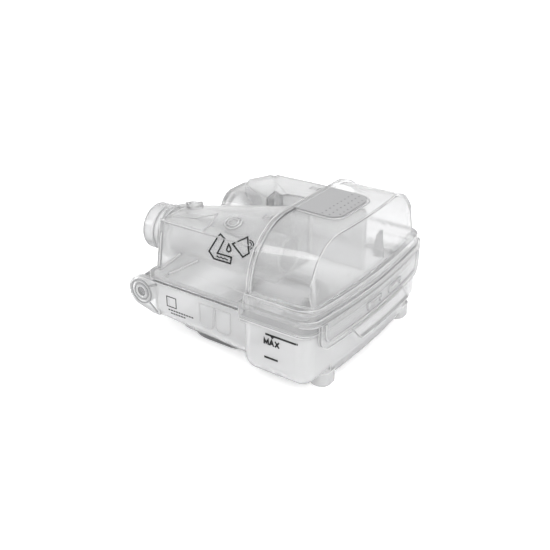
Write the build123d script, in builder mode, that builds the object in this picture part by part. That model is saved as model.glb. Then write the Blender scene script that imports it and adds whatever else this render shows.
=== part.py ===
from build123d import *
from math import asin, atan2, cos, hypot, sin, sqrt, tan
import os

os.makedirs("parts", exist_ok=True)

# Water tub of a heated humidifier for a bedside breathing machine.
# X runs from the hinge end (-X) to the front handle (+X), Y across, Z up.
# The origin is on the surface the tub stands on, under the middle of the whole.

# ---------------------------------------------------------------- overall form
tub_width = 133.0           # base walls of the outer part, side to side
insert_step = 6.5           # each side of the slimmer rear part, which slides into the machine's bay
base_front_x = 68.3         # middle of the base's bowed front wall
step_x = 19.5               # where the outer part meets the slimmer rear part
base_rear_x = -50.0         # rear wall of the water space
bow_radius = 450.0          # bow of the front, seen from above
front_corner = 8.5          # upright corners of the front
rim_z = 36.0                # top edge of the base
wall = 2.0                  # moulded wall of the base
overlap = 12.0              # how far the rear block runs into the outer block

# ---------------------------------------------------------------- base floor
floor_z = 4.0               # underside of the tub's floor
outer_edge_radius = 8.5     # rounding under the outer part
outer_heel_radius = 9.0     # rounding under the outer part's rear end
front_edge_radius = 2.5     # tighter rounding under the front wall, between the feet
insert_edge_radius = 11.0   # rounding under the rear part
insert_rise = 0.071         # the rear part's underside rises this much per mm to the rear
ledge_width = 11.0          # inward ledge that carries the seal, outer part
ledge_depth = 2.0

# ---------------------------------------------------------------- heater plate
plate_middle_x = -10.5
plate_length = 40.0         # opening in the floor over the plate
plate_width = 80.0
plate_corner = 12.0
plate_thickness = 1.5
plate_seal_thickness = 1.0
plate_rim = 4.5             # plate edge held under the floor
plate_pad_gap = 3.0         # from the opening to the pressed-down pad
frame_border = 3.5          # frame outside the plate
frame_gap = 0.6             # between the frame's lip and the pressed pad
frame_lift = 0.4            # frame's underside above the surface
well_rear_x = -41.5         # flat well in the floor that carries the plate
well_half = 51.0
well_corner = 12.0
well_edge_radius = 2.5

# ---------------------------------------------------------------- front feet
foot_middle_y = 45.2
foot_width = 14.6
foot_depth = 12.0           # from the toe back under the floor
foot_height = 8.0
foot_toe = 1.1              # toe beyond the front wall
foot_round = 5.5

# ---------------------------------------------------------------- hinge
hinge_x = -58.7
hinge_z = 26.3
ear_radius = 9.6
ear_thickness = 4.0
ear_web_front_x = -45.0     # the ear's web runs this far along the rear part's side
ear_web_bottom_z = 14.2
pin_radius = 3.2
pin_clearance = 0.08
barrel_radius = 8.0
barrel_wall = 2.2
barrel_side_gap = 0.6       # between the lid's barrel and each ear
plug_length = 7.0
pin_end_gap = 0.3           # pin's end below the ear's outer face

# ---------------------------------------------------------------- mid seal
seal_width = 3.0
seal_height = 1.5
seal_edge = 0.8             # from the rear part's outer wall to the seal
seal_gap = 0.3              # between the seal and the closed lid

# ---------------------------------------------------------------- catches on the base
catch_middles_y = (0.0, 22.5)
catch_width = 18.0
catch_height = 5.0
catch_below_rim = 4.5
catch_stand_out = 0.8

# ---------------------------------------------------------------- lid, front moulding
lid_wall = 2.2
skirt_gap = 0.4             # base rim to the lid's outer skirt
skirt_thickness = 1.8
flange_depth = 2.2          # wide rim over the seal
flange_top_z = 46.6
bead_height = 3.5
bead_stand_out = 0.5
bead_corner = 11.0
band_top_z = 52.0
band_front_x = 70.3         # raised band round the dome's foot
band_side_set = 0.2         # band inside the rim at the sides
band_taper = 7.0            # degrees the band and the dome's front lean back
band_corner = 13.0          # upright corners of the band
seam_x = 22.3
seam_band_width = 3.0
seam_band_side_rise = 1.0
seam_band_top_rise = 1.2
dome_set_rear = 4.5         # dome side inside the base's side, at the seam
dome_set_front = 10.5       # the same, far in front of the bowed face
dome_top_rear = 85.6
dome_top_front = 84.4
dome_side_straight = 5.0    # upright side below the arch's shoulder, at the seam
shoulder_front = 22.0       # arch shoulder radius at the front
dome_front_x = 67.0         # dome front at its foot
dome_foot_set = 5.8         # dome side at its foot, front corners
dome_foot_flare = 3.2       # more of it at the seam
dome_corner = 6.0           # upright corner between dome side and front face

# ---------------------------------------------------------------- front panel with finger tab
panel_front_x = 71.3
panel_thickness = 1.8
panel_set = 8.5             # panel's end inside the base's side
panel_bottom_z = 26.4
panel_corner = 7.0
tab_share = 0.526           # tab's width as a share of the panel's
tab_front_x = 77.0
tab_bottom_z = 24.3
tab_root = 3.4              # the tab leaves the panel this far above its lower edge
tab_thickness = 2.6         # along X, at the tab's lower edge

# ---------------------------------------------------------------- thumb grip
grip_length = 30.0
grip_width = 38.0
grip_corner = 8.0
grip_thickness = 1.8
grip_proud = 1.0            # above the dome's top

# ---------------------------------------------------------------- lid, rear moulding
rear_wall = 2.0
deck_rear_x = -46.0         # where the deck starts to slope to the hinge
rear_rim_width = 4.0        # wide rim over the seal
rear_rim_depth = 1.2
seam_step = 1.2             # rear moulding below the seam band
rear_side_set = 0.5         # its sides inside the base's rear part
near_rear_x = -50.0
near_axis_y = -33.0
near_axis_z = 58.7
near_rear_half = 17.5       # near channel's rear end, half its width
near_rear_rise = 15.0       # half its height
near_inner_y = -15.0        # valley side of the near channel
near_corner = 1.0           # small rounding inside the valley
near_ledge_z = 75.0         # flat ledge beside the near channel
near_ledge_y = -55.0        # its outer edge; its inner edge is over the channel's axis
near_ledge_rear_x = -44.0   # rear end of the ledge and of the side wall below it
near_side_top_z = 48.0
far_rear_x = -50.0
far_axis_y = 26.5
far_arch_radius = 18.2
far_arch_top_z = 68.8
far_block_rear_x = -37.0
far_block_rear_y = 17.5
far_tip_x = -8.5
notch_x = -5.8
notch_y = 5.0
far_box_x = 2.3
far_wall_y = 0.0            # valley side of the far channel
far_arch_shoulder = 12.0
far_ridge_y = 22.4          # ridge of the faceted block, beyond it the block falls away
far_ridge_x = -16.7         # rear end of the falling side
far_fall = 0.6              # drop per mm beyond the ridge
facet_tip_z = 78.6          # sloping facet over the far channel, at its tip
facet_rise_x = 0.385
facet_rise_y = 0.43
roof_edge_z = 84.2          # flatter facet next to the dome, at the valley edge
roof_rise_x = 0.07
roof_rise_y = 0.04

# ---------------------------------------------------------------- ports and ducts
nozzle_tip_x = -66.5
nozzle_bore = 10.5
nozzle_radius = 14.3
nozzle_ring_radius = 15.0
nozzle_neck_radius = 12.9
nozzle_cap_length = 8.2
nozzle_groove = 1.7
nozzle_ring_length = 3.2
nozzle_round = 1.2
collar_radius = 15.3
collar_thickness = 3.0
inlet_radius = 12.0
inlet_end_radius = 11.0
inlet_wall = 1.5
inlet_end_x = 30.0
inlet_end_y = -32.0
inlet_end_z = 63.5
outlet_axis_z = 50.5
outlet_floor_z = 45.5       # the outlet is arched, with a flat floor
outlet_bore = 11.0
outlet_ring_radius = 15.0
outlet_ring_length = 3.5
outlet_tube_radius = 13.0
outlet_tube_wall = 1.5
outlet_tube_length = 42.0
baffle_y = 4.5
baffle_thickness = 2.0
baffle_front_x = 56.0
baffle_bottom_z = 46.0

# ---------------------------------------------------------------- worked out
tub_half = tub_width / 2
insert_half = tub_half - insert_step
dome_half_rear = tub_half - dome_set_rear
dome_half_front = tub_half - dome_set_front
dome_foot_half = tub_half - dome_foot_set
shoulder_rear = dome_top_rear - flange_top_z - dome_side_straight
panel_half = tub_half - panel_set
tab_half = panel_half * tab_share
seal_top_z = rim_z + seal_height
lid_rim_z = seal_top_z + seal_gap
plate_top_z = floor_z - plate_seal_thickness
plate_bottom_z = plate_top_z - plate_thickness
ear_inner_y = insert_half - ear_thickness
barrel_half = ear_inner_y - barrel_side_gap
seam_half = dome_half_rear + seam_band_side_rise
seam_top = dome_top_rear + seam_band_top_rise
seam_shoulder = shoulder_rear + seam_band_side_rise
rear_half = insert_half - rear_side_set
rear_top = seam_top - seam_step
rear_shoulder = seam_shoulder - seam_step
panel_back_x = panel_front_x - panel_thickness
# the deck's rear slope runs tangent to the hinge barrel
slope_reach = hypot(deck_rear_x - hinge_x, flange_top_z - hinge_z)
slope_angle = atan2(flange_top_z - hinge_z, deck_rear_x - hinge_x) - asin(barrel_radius / slope_reach)
deck_edge_z = flange_top_z - (deck_rear_x - base_rear_x) * tan(slope_angle)
far_clear = 30.0            # reach of construction blocks beyond the part
cut_extra = 1.0             # how far a cut starts outside the face it opens


def bow_sag(half):
    """How far the bowed front falls back at this half width."""
    return bow_radius - sqrt(bow_radius**2 - half**2)


def bowed_plan(rear, front, half, corner, flare=0):
    """Plan outline with straight rear and sides and a bowed, round-cornered front."""
    side_x = front - bow_sag(half)
    with BuildSketch() as plan:
        with BuildLine():
            Polyline((side_x, half), (rear, half + flare), (rear, -half - flare), (side_x, -half))
            ThreePointArc((side_x, -half), (front, 0), (side_x, half))
        make_face()
        fillet(plan.vertices().group_by(Axis.X)[-1], radius=corner)
    return plan.sketch


def bow_strip(front, thickness, half):
    """Plan of a plate that follows the front's bow."""
    side_x = front - bow_sag(half)
    back = front - thickness
    back_side_x = side_x - thickness
    with BuildSketch() as strip:
        with BuildLine():
            ThreePointArc((side_x, -half), (front, 0), (side_x, half))
            Line((side_x, half), (back_side_x, half))
            ThreePointArc((back_side_x, half), (back, 0), (back_side_x, -half))
            Line((back_side_x, -half), (side_x, -half))
        make_face()
    return strip.sketch


def plate_outline(grow):
    """Round-cornered outline of the heater plate's opening, grown all round."""
    with BuildSketch() as outline:
        with Locations((plate_middle_x, 0)):
            RectangleRounded(plate_length + 2 * grow, plate_width + 2 * grow, plate_corner + grow)
    return outline.sketch


toe_x = base_front_x - bow_sag(foot_middle_y) + foot_toe


# ================================================================= base
def outer_block(inset):
    """Outer part of the base, or its inner space when inset by the wall."""
    with BuildPart() as block:
        with BuildSketch(Plane.XY.offset(floor_z + inset)):
            add(bowed_plan(step_x + inset, base_front_x - inset, tub_half - inset, front_corner - inset))
        extrude(amount=rim_z - floor_z - inset)
        fillet(block.edges().group_by(Axis.Z)[0].sort_by(Axis.X)[0], radius=outer_heel_radius - inset)
        fillet(block.edges().group_by(Axis.Z)[0].sort_by(Axis.X)[-1], radius=outer_edge_radius - inset)
    return block.part


def insert_block(inset):
    """Rear part of the base, its underside rising to the rear; or its inner space."""
    front_x = step_x + overlap
    rear_x = base_rear_x + inset
    under_z = floor_z + inset * hypot(1, insert_rise)
    with BuildPart() as block:
        with BuildSketch(Plane.XZ):
            with BuildLine():
                Polyline((front_x, under_z), (front_x, rim_z), (rear_x, rim_z),
                         (rear_x, under_z + insert_rise * (front_x - rear_x)), close=True)
            make_face()
        extrude(amount=insert_half - inset, both=True)
        under = block.faces().sort_by(Axis.Z)[0].edges().sort_by(Axis.X)[:-1]
        fillet(under, radius=insert_edge_radius - inset)
    return block.part


def plate_well(inset):
    """Flat well in the rising floor, which carries the heater plate; or its inner space."""
    length = step_x + overlap + well_corner - well_rear_x - 2 * inset
    with BuildPart() as well:
        with BuildSketch(Plane.XY.offset(floor_z + inset)):
            with Locations((well_rear_x + inset, 0)):
                RectangleRounded(length, 2 * (well_half - inset), well_corner - inset,
                                 align=(Align.MIN, Align.CENTER))
        extrude(amount=insert_rise * (step_x + overlap - well_rear_x) + wall)
        fillet(well.faces().sort_by(Axis.Z)[0].edges(), radius=well_edge_radius - inset)
    return well.part


def front_edge_block():
    """Tighter lower edge of the front wall, between the feet."""
    with BuildPart() as block:
        with BuildSketch(Plane.XY.offset(floor_z)):
            add(bow_strip(base_front_x, 2 * outer_edge_radius, foot_middle_y))
        extrude(amount=outer_edge_radius)
        fillet(block.edges().group_by(Axis.Z)[0].sort_by(Axis.X)[-1], radius=front_edge_radius)
    return block.part


with BuildPart() as base_tub:
    add(outer_block(0))
    add(insert_block(0))
    add(plate_well(0))
    add(front_edge_block())
    # two feet under the front corners, each with a toe beyond the wall
    with BuildSketch():
        with Locations((toe_x, foot_middle_y), (toe_x, -foot_middle_y)):
            RectangleRounded(foot_depth, foot_width, foot_round, align=(Align.MAX, Align.CENTER))
    extrude(amount=foot_height)
    add(outer_block(wall), mode=Mode.SUBTRACT)
    add(insert_block(wall), mode=Mode.SUBTRACT)
    add(plate_well(wall), mode=Mode.SUBTRACT)
    # ledge inside the outer part, level with the rim, under the seal
    with BuildSketch(Plane.XY.offset(rim_z - ledge_depth)):
        add(bowed_plan(step_x, base_front_x - wall / 2, tub_half - wall / 2, front_corner - wall / 2))
        add(bowed_plan(step_x - cut_extra, base_front_x - ledge_width, tub_half - ledge_width,
                       front_corner - ledge_width / 2), mode=Mode.SUBTRACT)
    extrude(amount=ledge_depth)
    # ledge round the rear part
    with BuildSketch(Plane.XY.offset(rim_z - ledge_depth)):
        with Locations((base_rear_x + wall / 2, 0)):
            Rectangle(step_x - base_rear_x, 2 * insert_half - wall, align=(Align.MIN, Align.CENTER))
        with Locations((base_rear_x + seal_edge + seal_width + wall / 2, 0)):
            Rectangle(step_x - base_rear_x + cut_extra, tub_width - 2 * ledge_width,
                      align=(Align.MIN, Align.CENTER), mode=Mode.SUBTRACT)
    extrude(amount=ledge_depth)
    # opening over the heater plate
    with BuildSketch(Plane.XY.offset(floor_z - cut_extra)):
        add(plate_outline(0))
    extrude(amount=wall + 2 * cut_extra, mode=Mode.SUBTRACT)
    # hinge ears at the two rear corners
    for side in (-1, 1):
        with BuildSketch(Plane.XZ.offset(-side * insert_half)) as ear:
            with Locations((hinge_x, hinge_z)):
                Circle(ear_radius)
            with Locations((base_rear_x, rim_z)):
                Rectangle(ear_web_front_x - base_rear_x, rim_z - ear_web_bottom_z,
                          align=(Align.MIN, Align.MAX))
            make_hull()
        extrude(amount=side * ear_thickness)
        with BuildSketch(Plane.XZ.offset(-side * insert_half)):
            with Locations((hinge_x, hinge_z)):
                Circle(pin_radius + pin_clearance)
        extrude(amount=side * ear_thickness, mode=Mode.SUBTRACT)
base_tub.part.label = "base_tub"
export_step(base_tub.part, "parts/base_tub.step")


with BuildPart() as plate_seal:
    with BuildSketch(Plane.XY.offset(plate_top_z)):
        add(plate_outline(plate_rim))
        add(plate_outline(0), mode=Mode.SUBTRACT)
    extrude(amount=plate_seal_thickness)
plate_seal.part.label = "plate_seal"
export_step(plate_seal.part, "parts/plate_seal.step")


with BuildPart() as heater_plate:
    with BuildSketch(Plane.XY.offset(plate_bottom_z)):
        add(plate_outline(plate_rim))
    extrude(amount=plate_thickness)
    # the middle is pressed down to the surface, one sheet thick
    with BuildSketch():
        add(plate_outline(-plate_pad_gap))
    extrude(amount=plate_bottom_z)
    with BuildSketch(Plane.XY.offset(plate_thickness)):
        add(plate_outline(-plate_pad_gap - plate_thickness))
    extrude(amount=plate_top_z - plate_thickness, mode=Mode.SUBTRACT)
heater_plate.part.label = "heater_plate"
export_step(heater_plate.part, "parts/heater_plate.step")


with BuildPart() as plate_frame:
    with BuildSketch(Plane.XY.offset(frame_lift)):
        add(plate_outline(plate_rim + frame_border))
    extrude(amount=floor_z - frame_lift)
    with BuildSketch(Plane.XY.offset(plate_bottom_z)):
        add(plate_outline(plate_rim))
    extrude(amount=floor_z - plate_bottom_z, mode=Mode.SUBTRACT)
    with BuildSketch():
        add(plate_outline(frame_gap - plate_pad_gap))
    extrude(amount=floor_z, mode=Mode.SUBTRACT)
plate_frame.part.label = "plate_frame"
export_step(plate_frame.part, "parts/plate_frame.step")


def seal_plan(inset):
    """Outline of the seal that runs round the rim of the whole base."""
    half = insert_half - seal_edge - inset
    front = base_front_x - (tub_half - half)
    return bowed_plan(base_rear_x + seal_edge + inset, front, half, front_corner - seal_edge - inset)


with BuildPart() as mid_seal:
    with BuildSketch(Plane.XY.offset(rim_z)):
        add(seal_plan(0))
        add(seal_plan(seal_width), mode=Mode.SUBTRACT)
    extrude(amount=seal_height)
    fillet(mid_seal.faces().sort_by(Axis.Z)[-1].edges(), radius=seal_height / 3)
mid_seal.part.label = "mid_seal"
export_step(mid_seal.part, "parts/mid_seal.step")


# snap catches on the base's front wall, behind the lid's front panel
for name, middle in zip(("catch_left", "catch_right"), catch_middles_y):
    with BuildPart() as catch:
        with BuildSketch(Plane.XY.offset(rim_z - catch_below_rim - catch_height)):
            add(bow_strip(base_front_x + catch_stand_out, catch_stand_out, tub_half / 2))
            with Locations((base_front_x, middle)):
                Rectangle(tub_half, catch_width, mode=Mode.INTERSECT)
        extrude(amount=catch_height)
    catch.part.label = name
    export_step(catch.part, f"parts/{name}.step")


# ================================================================= lid, front moulding
def arch_section(half, top, shoulder):
    """Section across the lid: upright sides, flat top, round shoulders."""
    with BuildSketch() as section:
        with BuildLine():
            Polyline((-half, flange_top_z), (half, flange_top_z), (half, top), (-half, top), close=True)
        make_face()
        fillet(section.vertices().group_by(Axis.Y)[-1], radius=shoulder)
    return section.sketch


def dome_block(inset):
    """Dome from the seam forwards, or its inner space when inset by the wall."""
    with BuildPart() as dome:
        for x, half, top, shoulder in (
            (seam_x, dome_half_rear, dome_top_rear, shoulder_rear),
            (base_front_x + far_clear, dome_half_front, dome_top_front, shoulder_front),
        ):
            with BuildSketch(Plane.YZ.offset(x)):
                add(arch_section(half - inset, top - inset, shoulder - inset))
        loft()
        with BuildSketch(Plane.XY.offset(flange_top_z)):
            add(bowed_plan(step_x - overlap, dome_front_x - inset, dome_foot_half - inset,
                           dome_corner - inset, dome_foot_flare))
        extrude(amount=dome_top_rear - flange_top_z, taper=band_taper, mode=Mode.INTERSECT)
    return dome.part


with BuildPart() as thumb_grip:
    dome_fall = (dome_top_rear - dome_top_front) / (base_front_x + far_clear - seam_x)
    with BuildSketch(Plane((seam_x, 0, dome_top_rear + grip_proud - grip_thickness),
                           x_dir=(1, 0, -dome_fall), z_dir=(dome_fall, 0, 1))) as grip_plan:
        Rectangle(grip_length, grip_width, align=(Align.MIN, Align.CENTER))
        fillet(grip_plan.vertices().group_by(Axis.X)[-1], radius=grip_corner)
    extrude(amount=grip_thickness)
    fillet(thumb_grip.faces().sort_by(Axis.Z)[-1].edges(), radius=grip_thickness / 4)
thumb_grip.part.label = "thumb_grip"
export_step(thumb_grip.part, "parts/thumb_grip.step")


with BuildPart() as lid_dome:
    # rim over the base
    with BuildSketch(Plane.XY.offset(lid_rim_z)):
        add(bowed_plan(step_x, panel_back_x, tub_half, front_corner))
    extrude(amount=flange_top_z - lid_rim_z)
    # skirt outside the seal
    with BuildSketch(Plane.XY.offset(rim_z + skirt_gap)):
        add(bowed_plan(step_x, base_front_x, tub_half, front_corner))
        add(bowed_plan(step_x - cut_extra, base_front_x - skirt_thickness, tub_half - skirt_thickness,
                       front_corner - skirt_thickness), mode=Mode.SUBTRACT)
    extrude(amount=lid_rim_z - rim_z - skirt_gap)
    # bead round the rim; the front panel hangs under its front
    with BuildSketch(Plane.XY.offset(flange_top_z - bead_height)):
        add(bowed_plan(step_x, panel_front_x, tub_half + bead_stand_out, bead_corner))
    extrude(amount=bead_height)
    # raised band round the dome's foot, and the band along the seam
    with BuildSketch(Plane.XY.offset(flange_top_z)):
        add(bowed_plan(seam_x, band_front_x, tub_half - band_side_set, band_corner))
    extrude(amount=band_top_z - flange_top_z, taper=band_taper)
    with BuildSketch(Plane.YZ.offset(seam_x)):
        add(arch_section(seam_half, seam_top, seam_shoulder))
    extrude(amount=seam_band_width)
    add(dome_block(0))
    # inner space
    with BuildSketch(Plane.XY.offset(lid_rim_z)):
        add(bowed_plan(step_x - cut_extra, base_front_x - ledge_width, tub_half - ledge_width,
                       front_corner - ledge_width / 2))
    extrude(amount=flange_depth, mode=Mode.SUBTRACT)
    with BuildSketch(Plane.XY.offset(lid_rim_z + flange_depth)):
        add(bowed_plan(step_x - cut_extra, panel_back_x - lid_wall, dome_half_rear - lid_wall,
                       front_corner - lid_wall))
    extrude(amount=flange_top_z - lid_rim_z - flange_depth, mode=Mode.SUBTRACT)
    add(dome_block(lid_wall), mode=Mode.SUBTRACT)
    # pillars that close the rim's two ends at the step
    with Locations((step_x, tub_half - ledge_width, lid_rim_z),
                   (step_x, ledge_width - tub_half, lid_rim_z)):
        Box(seam_x + seam_band_width - step_x, ledge_width / 2, flange_top_z - lid_rim_z,
            align=(Align.MIN, Align.CENTER, Align.MIN))
    add(thumb_grip.part, mode=Mode.SUBTRACT)
lid_dome.part.label = "lid_dome"
export_step(lid_dome.part, "parts/lid_dome.step")


with BuildPart() as front_panel:
    with BuildSketch(Plane.XY.offset(panel_bottom_z)):
        add(bow_strip(panel_front_x, panel_thickness, panel_half))
    extrude(amount=flange_top_z - bead_height - panel_bottom_z)
    ends = front_panel.edges().filter_by(GeomType.LINE).filter_by(Axis.X).group_by(Axis.Z)[0]
    fillet(ends, radius=panel_corner)
    # finger tab flaring out from the panel's lower edge
    with BuildSketch(Plane.XY.offset(panel_bottom_z + tab_root)):
        add(bow_strip(panel_front_x, panel_thickness, tab_half))
    with BuildSketch(Plane.XY.offset(tab_bottom_z)):
        add(bow_strip(tab_front_x, tab_thickness, tab_half - panel_thickness))
    loft()
front_panel.part.label = "front_panel"
export_step(front_panel.part, "parts/front_panel.step")


# ================================================================= lid, rear moulding
def channel_section(low_y, high_y, low_z, high_z, radii):
    """Four-sided section with its own radius at each corner, from low y, low z anticlockwise."""
    corners = ((low_y, low_z), (high_y, low_z), (high_y, high_z), (low_y, high_z))
    with BuildSketch() as section:
        with BuildLine():
            Polyline(*corners, close=True)
        make_face()
        for (y, z), radius in zip(corners, radii):
            fillet(section.vertices().sort_by_distance((y, z))[0], radius=radius)
    return section.sketch


def rear_deck(inset):
    """Deck over the base's rear part, sloping to the hinge; or its inner space."""
    drop = inset / cos(slope_angle)
    with BuildPart() as deck:
        with BuildSketch(Plane.XZ):
            with BuildLine():
                Polyline(
                    (base_rear_x + inset, lid_rim_z),
                    (seam_x, lid_rim_z),
                    (seam_x, flange_top_z - inset),
                    (deck_rear_x + (drop - inset) / tan(slope_angle), flange_top_z - inset),
                    (base_rear_x + inset, deck_edge_z + inset * tan(slope_angle) - drop),
                    close=True,
                )
            make_face()
        extrude(amount=insert_half - inset, both=True)
    return deck.part


def near_channel(inset):
    """Channel that widens from the inlet to the dome, with a flat ledge beside it."""
    half = near_rear_half - inset
    rise = near_rear_rise - inset
    small = near_corner
    with BuildPart() as channel:
        with BuildSketch(Plane.YZ.offset(near_rear_x + inset)):
            add(channel_section(near_axis_y - half, near_axis_y + half, near_axis_z - rise,
                                near_axis_z + rise, (rise - small / 10,) * 4))
        with BuildSketch(Plane.YZ.offset(seam_x)):
            add(channel_section(inset - rear_half, near_inner_y - inset, flange_top_z + inset,
                                rear_top - inset, (small, small, small, rear_shoulder - inset)))
        loft()
        with BuildSketch(Plane.YZ.offset(near_ledge_rear_x + inset)):
            with BuildLine():
                Polyline((inset - insert_half, lid_rim_z), (near_axis_y - inset, lid_rim_z),
                         (near_axis_y - inset, near_ledge_z - inset),
                         (near_ledge_y + inset, near_ledge_z - inset),
                         (inset - insert_half, near_side_top_z), close=True)
            make_face()
        extrude(amount=seam_x - near_ledge_rear_x - inset)
    return channel.part


def far_channel(inset):
    """Arched channel to the outlet, under a faceted block that meets the dome."""
    radius = far_arch_radius - inset
    with BuildPart() as channel:
        with BuildSketch(Plane.XY.offset(lid_rim_z)):
            with BuildLine():
                Polyline((seam_x + 2 * inset, far_wall_y), (far_box_x, far_wall_y), (notch_x, notch_y),
                         (far_tip_x, far_wall_y), (far_block_rear_x, far_block_rear_y),
                         (far_block_rear_x, far_ridge_y), (far_ridge_x, far_ridge_y),
                         (far_ridge_x, rear_half), (seam_x + 2 * inset, rear_half), close=True)
            make_face()
            if inset:
                offset(amount=-inset, kind=Kind.ARC)
        extrude(amount=rear_top)
        with BuildSketch(Plane.YZ.offset(far_block_rear_x)):
            add(arch_section(rear_half - inset, rear_top - inset, rear_shoulder - inset))
            with Locations((0, flange_top_z)):
                Rectangle(2 * (rear_half - inset), 2 * (flange_top_z - lid_rim_z))
        extrude(amount=seam_x - far_block_rear_x, mode=Mode.INTERSECT)
        facet = Plane(origin=(far_tip_x, far_wall_y, facet_tip_z), z_dir=(-facet_rise_x, -facet_rise_y, 1))
        roof = Plane(origin=(far_box_x, far_wall_y, roof_edge_z), z_dir=(-roof_rise_x, -roof_rise_y, 1))
        ridge_z = roof_edge_z + roof_rise_y * (far_ridge_y - far_wall_y)
        fall = Plane(origin=(far_box_x, far_ridge_y, ridge_z), z_dir=(0, far_fall, 1))
        split(bisect_by=facet.offset(-inset), keep=Keep.BOTTOM)
        split(bisect_by=roof.offset(-inset), keep=Keep.BOTTOM)
        split(bisect_by=fall.offset(-inset), keep=Keep.BOTTOM)
    shoulder = far_arch_shoulder - inset
    with BuildPart() as arch:
        with BuildSketch(Plane.YZ.offset(far_rear_x + inset)):
            add(channel_section(far_axis_y - radius, far_axis_y + radius, lid_rim_z, far_arch_top_z - inset,
                                (near_corner, near_corner, shoulder, shoulder)))
        extrude(amount=seam_x - far_rear_x - inset)
    with BuildPart() as both:
        add(channel.part)
        add(arch.part)
    return both.part


def arched_port(radius, floor):
    """Section of the outlet: a circle with a flat floor."""
    with BuildSketch() as port:
        with Locations((far_axis_y, outlet_axis_z)):
            Circle(radius)
        with Locations((far_axis_y, floor)):
            Rectangle(2 * radius, radius, align=(Align.CENTER, Align.MAX), mode=Mode.SUBTRACT)
    return port.sketch


with BuildPart() as lid_rear:
    add(rear_deck(0))
    add(near_channel(0))
    add(far_channel(0))
    add(rear_deck(rear_wall), mode=Mode.SUBTRACT)
    add(near_channel(rear_wall), mode=Mode.SUBTRACT)
    add(far_channel(rear_wall), mode=Mode.SUBTRACT)
    # wall that closes the valley between the channels against the dome
    with Locations((seam_x, (near_inner_y + far_wall_y) / 2, flange_top_z - rear_wall)):
        Box(rear_wall, far_wall_y - near_inner_y + rear_wall, rear_top - flange_top_z + rear_wall,
            align=(Align.MAX, Align.CENTER, Align.MIN))
    # rim over the seal
    with BuildSketch(Plane.XY.offset(lid_rim_z)):
        with Locations((base_rear_x, 0)):
            Rectangle(step_x - base_rear_x, 2 * insert_half, align=(Align.MIN, Align.CENTER))
        with Locations((base_rear_x + rear_rim_width, 0)):
            Rectangle(step_x - base_rear_x, 2 * (insert_half - rear_rim_width),
                      align=(Align.MIN, Align.CENTER), mode=Mode.SUBTRACT)
    extrude(amount=rear_rim_depth)
    # the front moulding's rim takes over from the step forwards
    for side in (-1, 1):
        with Locations((step_x, side * (tub_half - ledge_width), lid_rim_z)):
            Box(seam_x - step_x, far_clear, flange_top_z - lid_rim_z, mode=Mode.SUBTRACT,
                align=(Align.MIN, Align.MIN if side > 0 else Align.MAX, Align.MIN))
    # slope down to the hinge barrel
    with BuildSketch(Plane.XZ):
        with BuildLine():
            Polyline((base_rear_x, deck_edge_z),
                     (hinge_x - barrel_radius * sin(slope_angle),
                      hinge_z + barrel_radius * cos(slope_angle)),
                     (hinge_x - (barrel_radius - barrel_wall) * sin(slope_angle),
                      hinge_z + (barrel_radius - barrel_wall) * cos(slope_angle)),
                     (base_rear_x, deck_edge_z - barrel_wall / cos(slope_angle)), close=True)
        make_face()
        with Locations((hinge_x, hinge_z)):
            Circle(barrel_radius)
            Circle(barrel_radius - barrel_wall, mode=Mode.SUBTRACT)
    extrude(amount=barrel_half, both=True)
    # openings for the two ducts
    with BuildSketch(Plane.YZ.offset(near_rear_x - cut_extra)):
        with Locations((near_axis_y, near_axis_z)):
            Circle(inlet_radius)
    extrude(amount=rear_wall + 2 * cut_extra, mode=Mode.SUBTRACT)
    with BuildSketch(Plane.YZ.offset(far_rear_x - cut_extra)):
        add(arched_port(outlet_tube_radius, outlet_floor_z))
    extrude(amount=rear_wall + 2 * cut_extra, mode=Mode.SUBTRACT)
lid_rear.part.label = "lid_rear"
export_step(lid_rear.part, "parts/lid_rear.step")


# ================================================================= ports and ducts
def ring_about_x(x, y, z, outer, inner, length):
    """Ring round an axis along X."""
    with BuildPart() as ring:
        with BuildSketch(Plane.YZ.offset(x)):
            with Locations((y, z)):
                Circle(outer)
                Circle(inner, mode=Mode.SUBTRACT)
        extrude(amount=length)
    return ring.part


with BuildPart() as inlet_collar:
    add(ring_about_x(near_rear_x - collar_thickness, near_axis_y, near_axis_z, collar_radius,
                     nozzle_neck_radius, collar_thickness))
    fillet(inlet_collar.faces().sort_by(Axis.X)[0].edges(), radius=collar_thickness / 4)
inlet_collar.part.label = "inlet_collar"
export_step(inlet_collar.part, "parts/inlet_collar.step")


with BuildPart() as inlet_nozzle:
    ring_x = nozzle_tip_x + nozzle_cap_length + nozzle_groove
    add(ring_about_x(nozzle_tip_x, near_axis_y, near_axis_z, nozzle_neck_radius, nozzle_bore,
                     near_rear_x - nozzle_tip_x))
    add(ring_about_x(nozzle_tip_x, near_axis_y, near_axis_z, nozzle_radius, nozzle_bore, nozzle_cap_length))
    add(ring_about_x(ring_x, near_axis_y, near_axis_z, nozzle_ring_radius, nozzle_bore, nozzle_ring_length))
    rims = inlet_nozzle.edges().filter_by(GeomType.CIRCLE)
    fillet([e for e in rims if e.radius > nozzle_neck_radius], radius=nozzle_round)
inlet_nozzle.part.label = "inlet_nozzle"
export_step(inlet_nozzle.part, "parts/inlet_nozzle.step")


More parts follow.
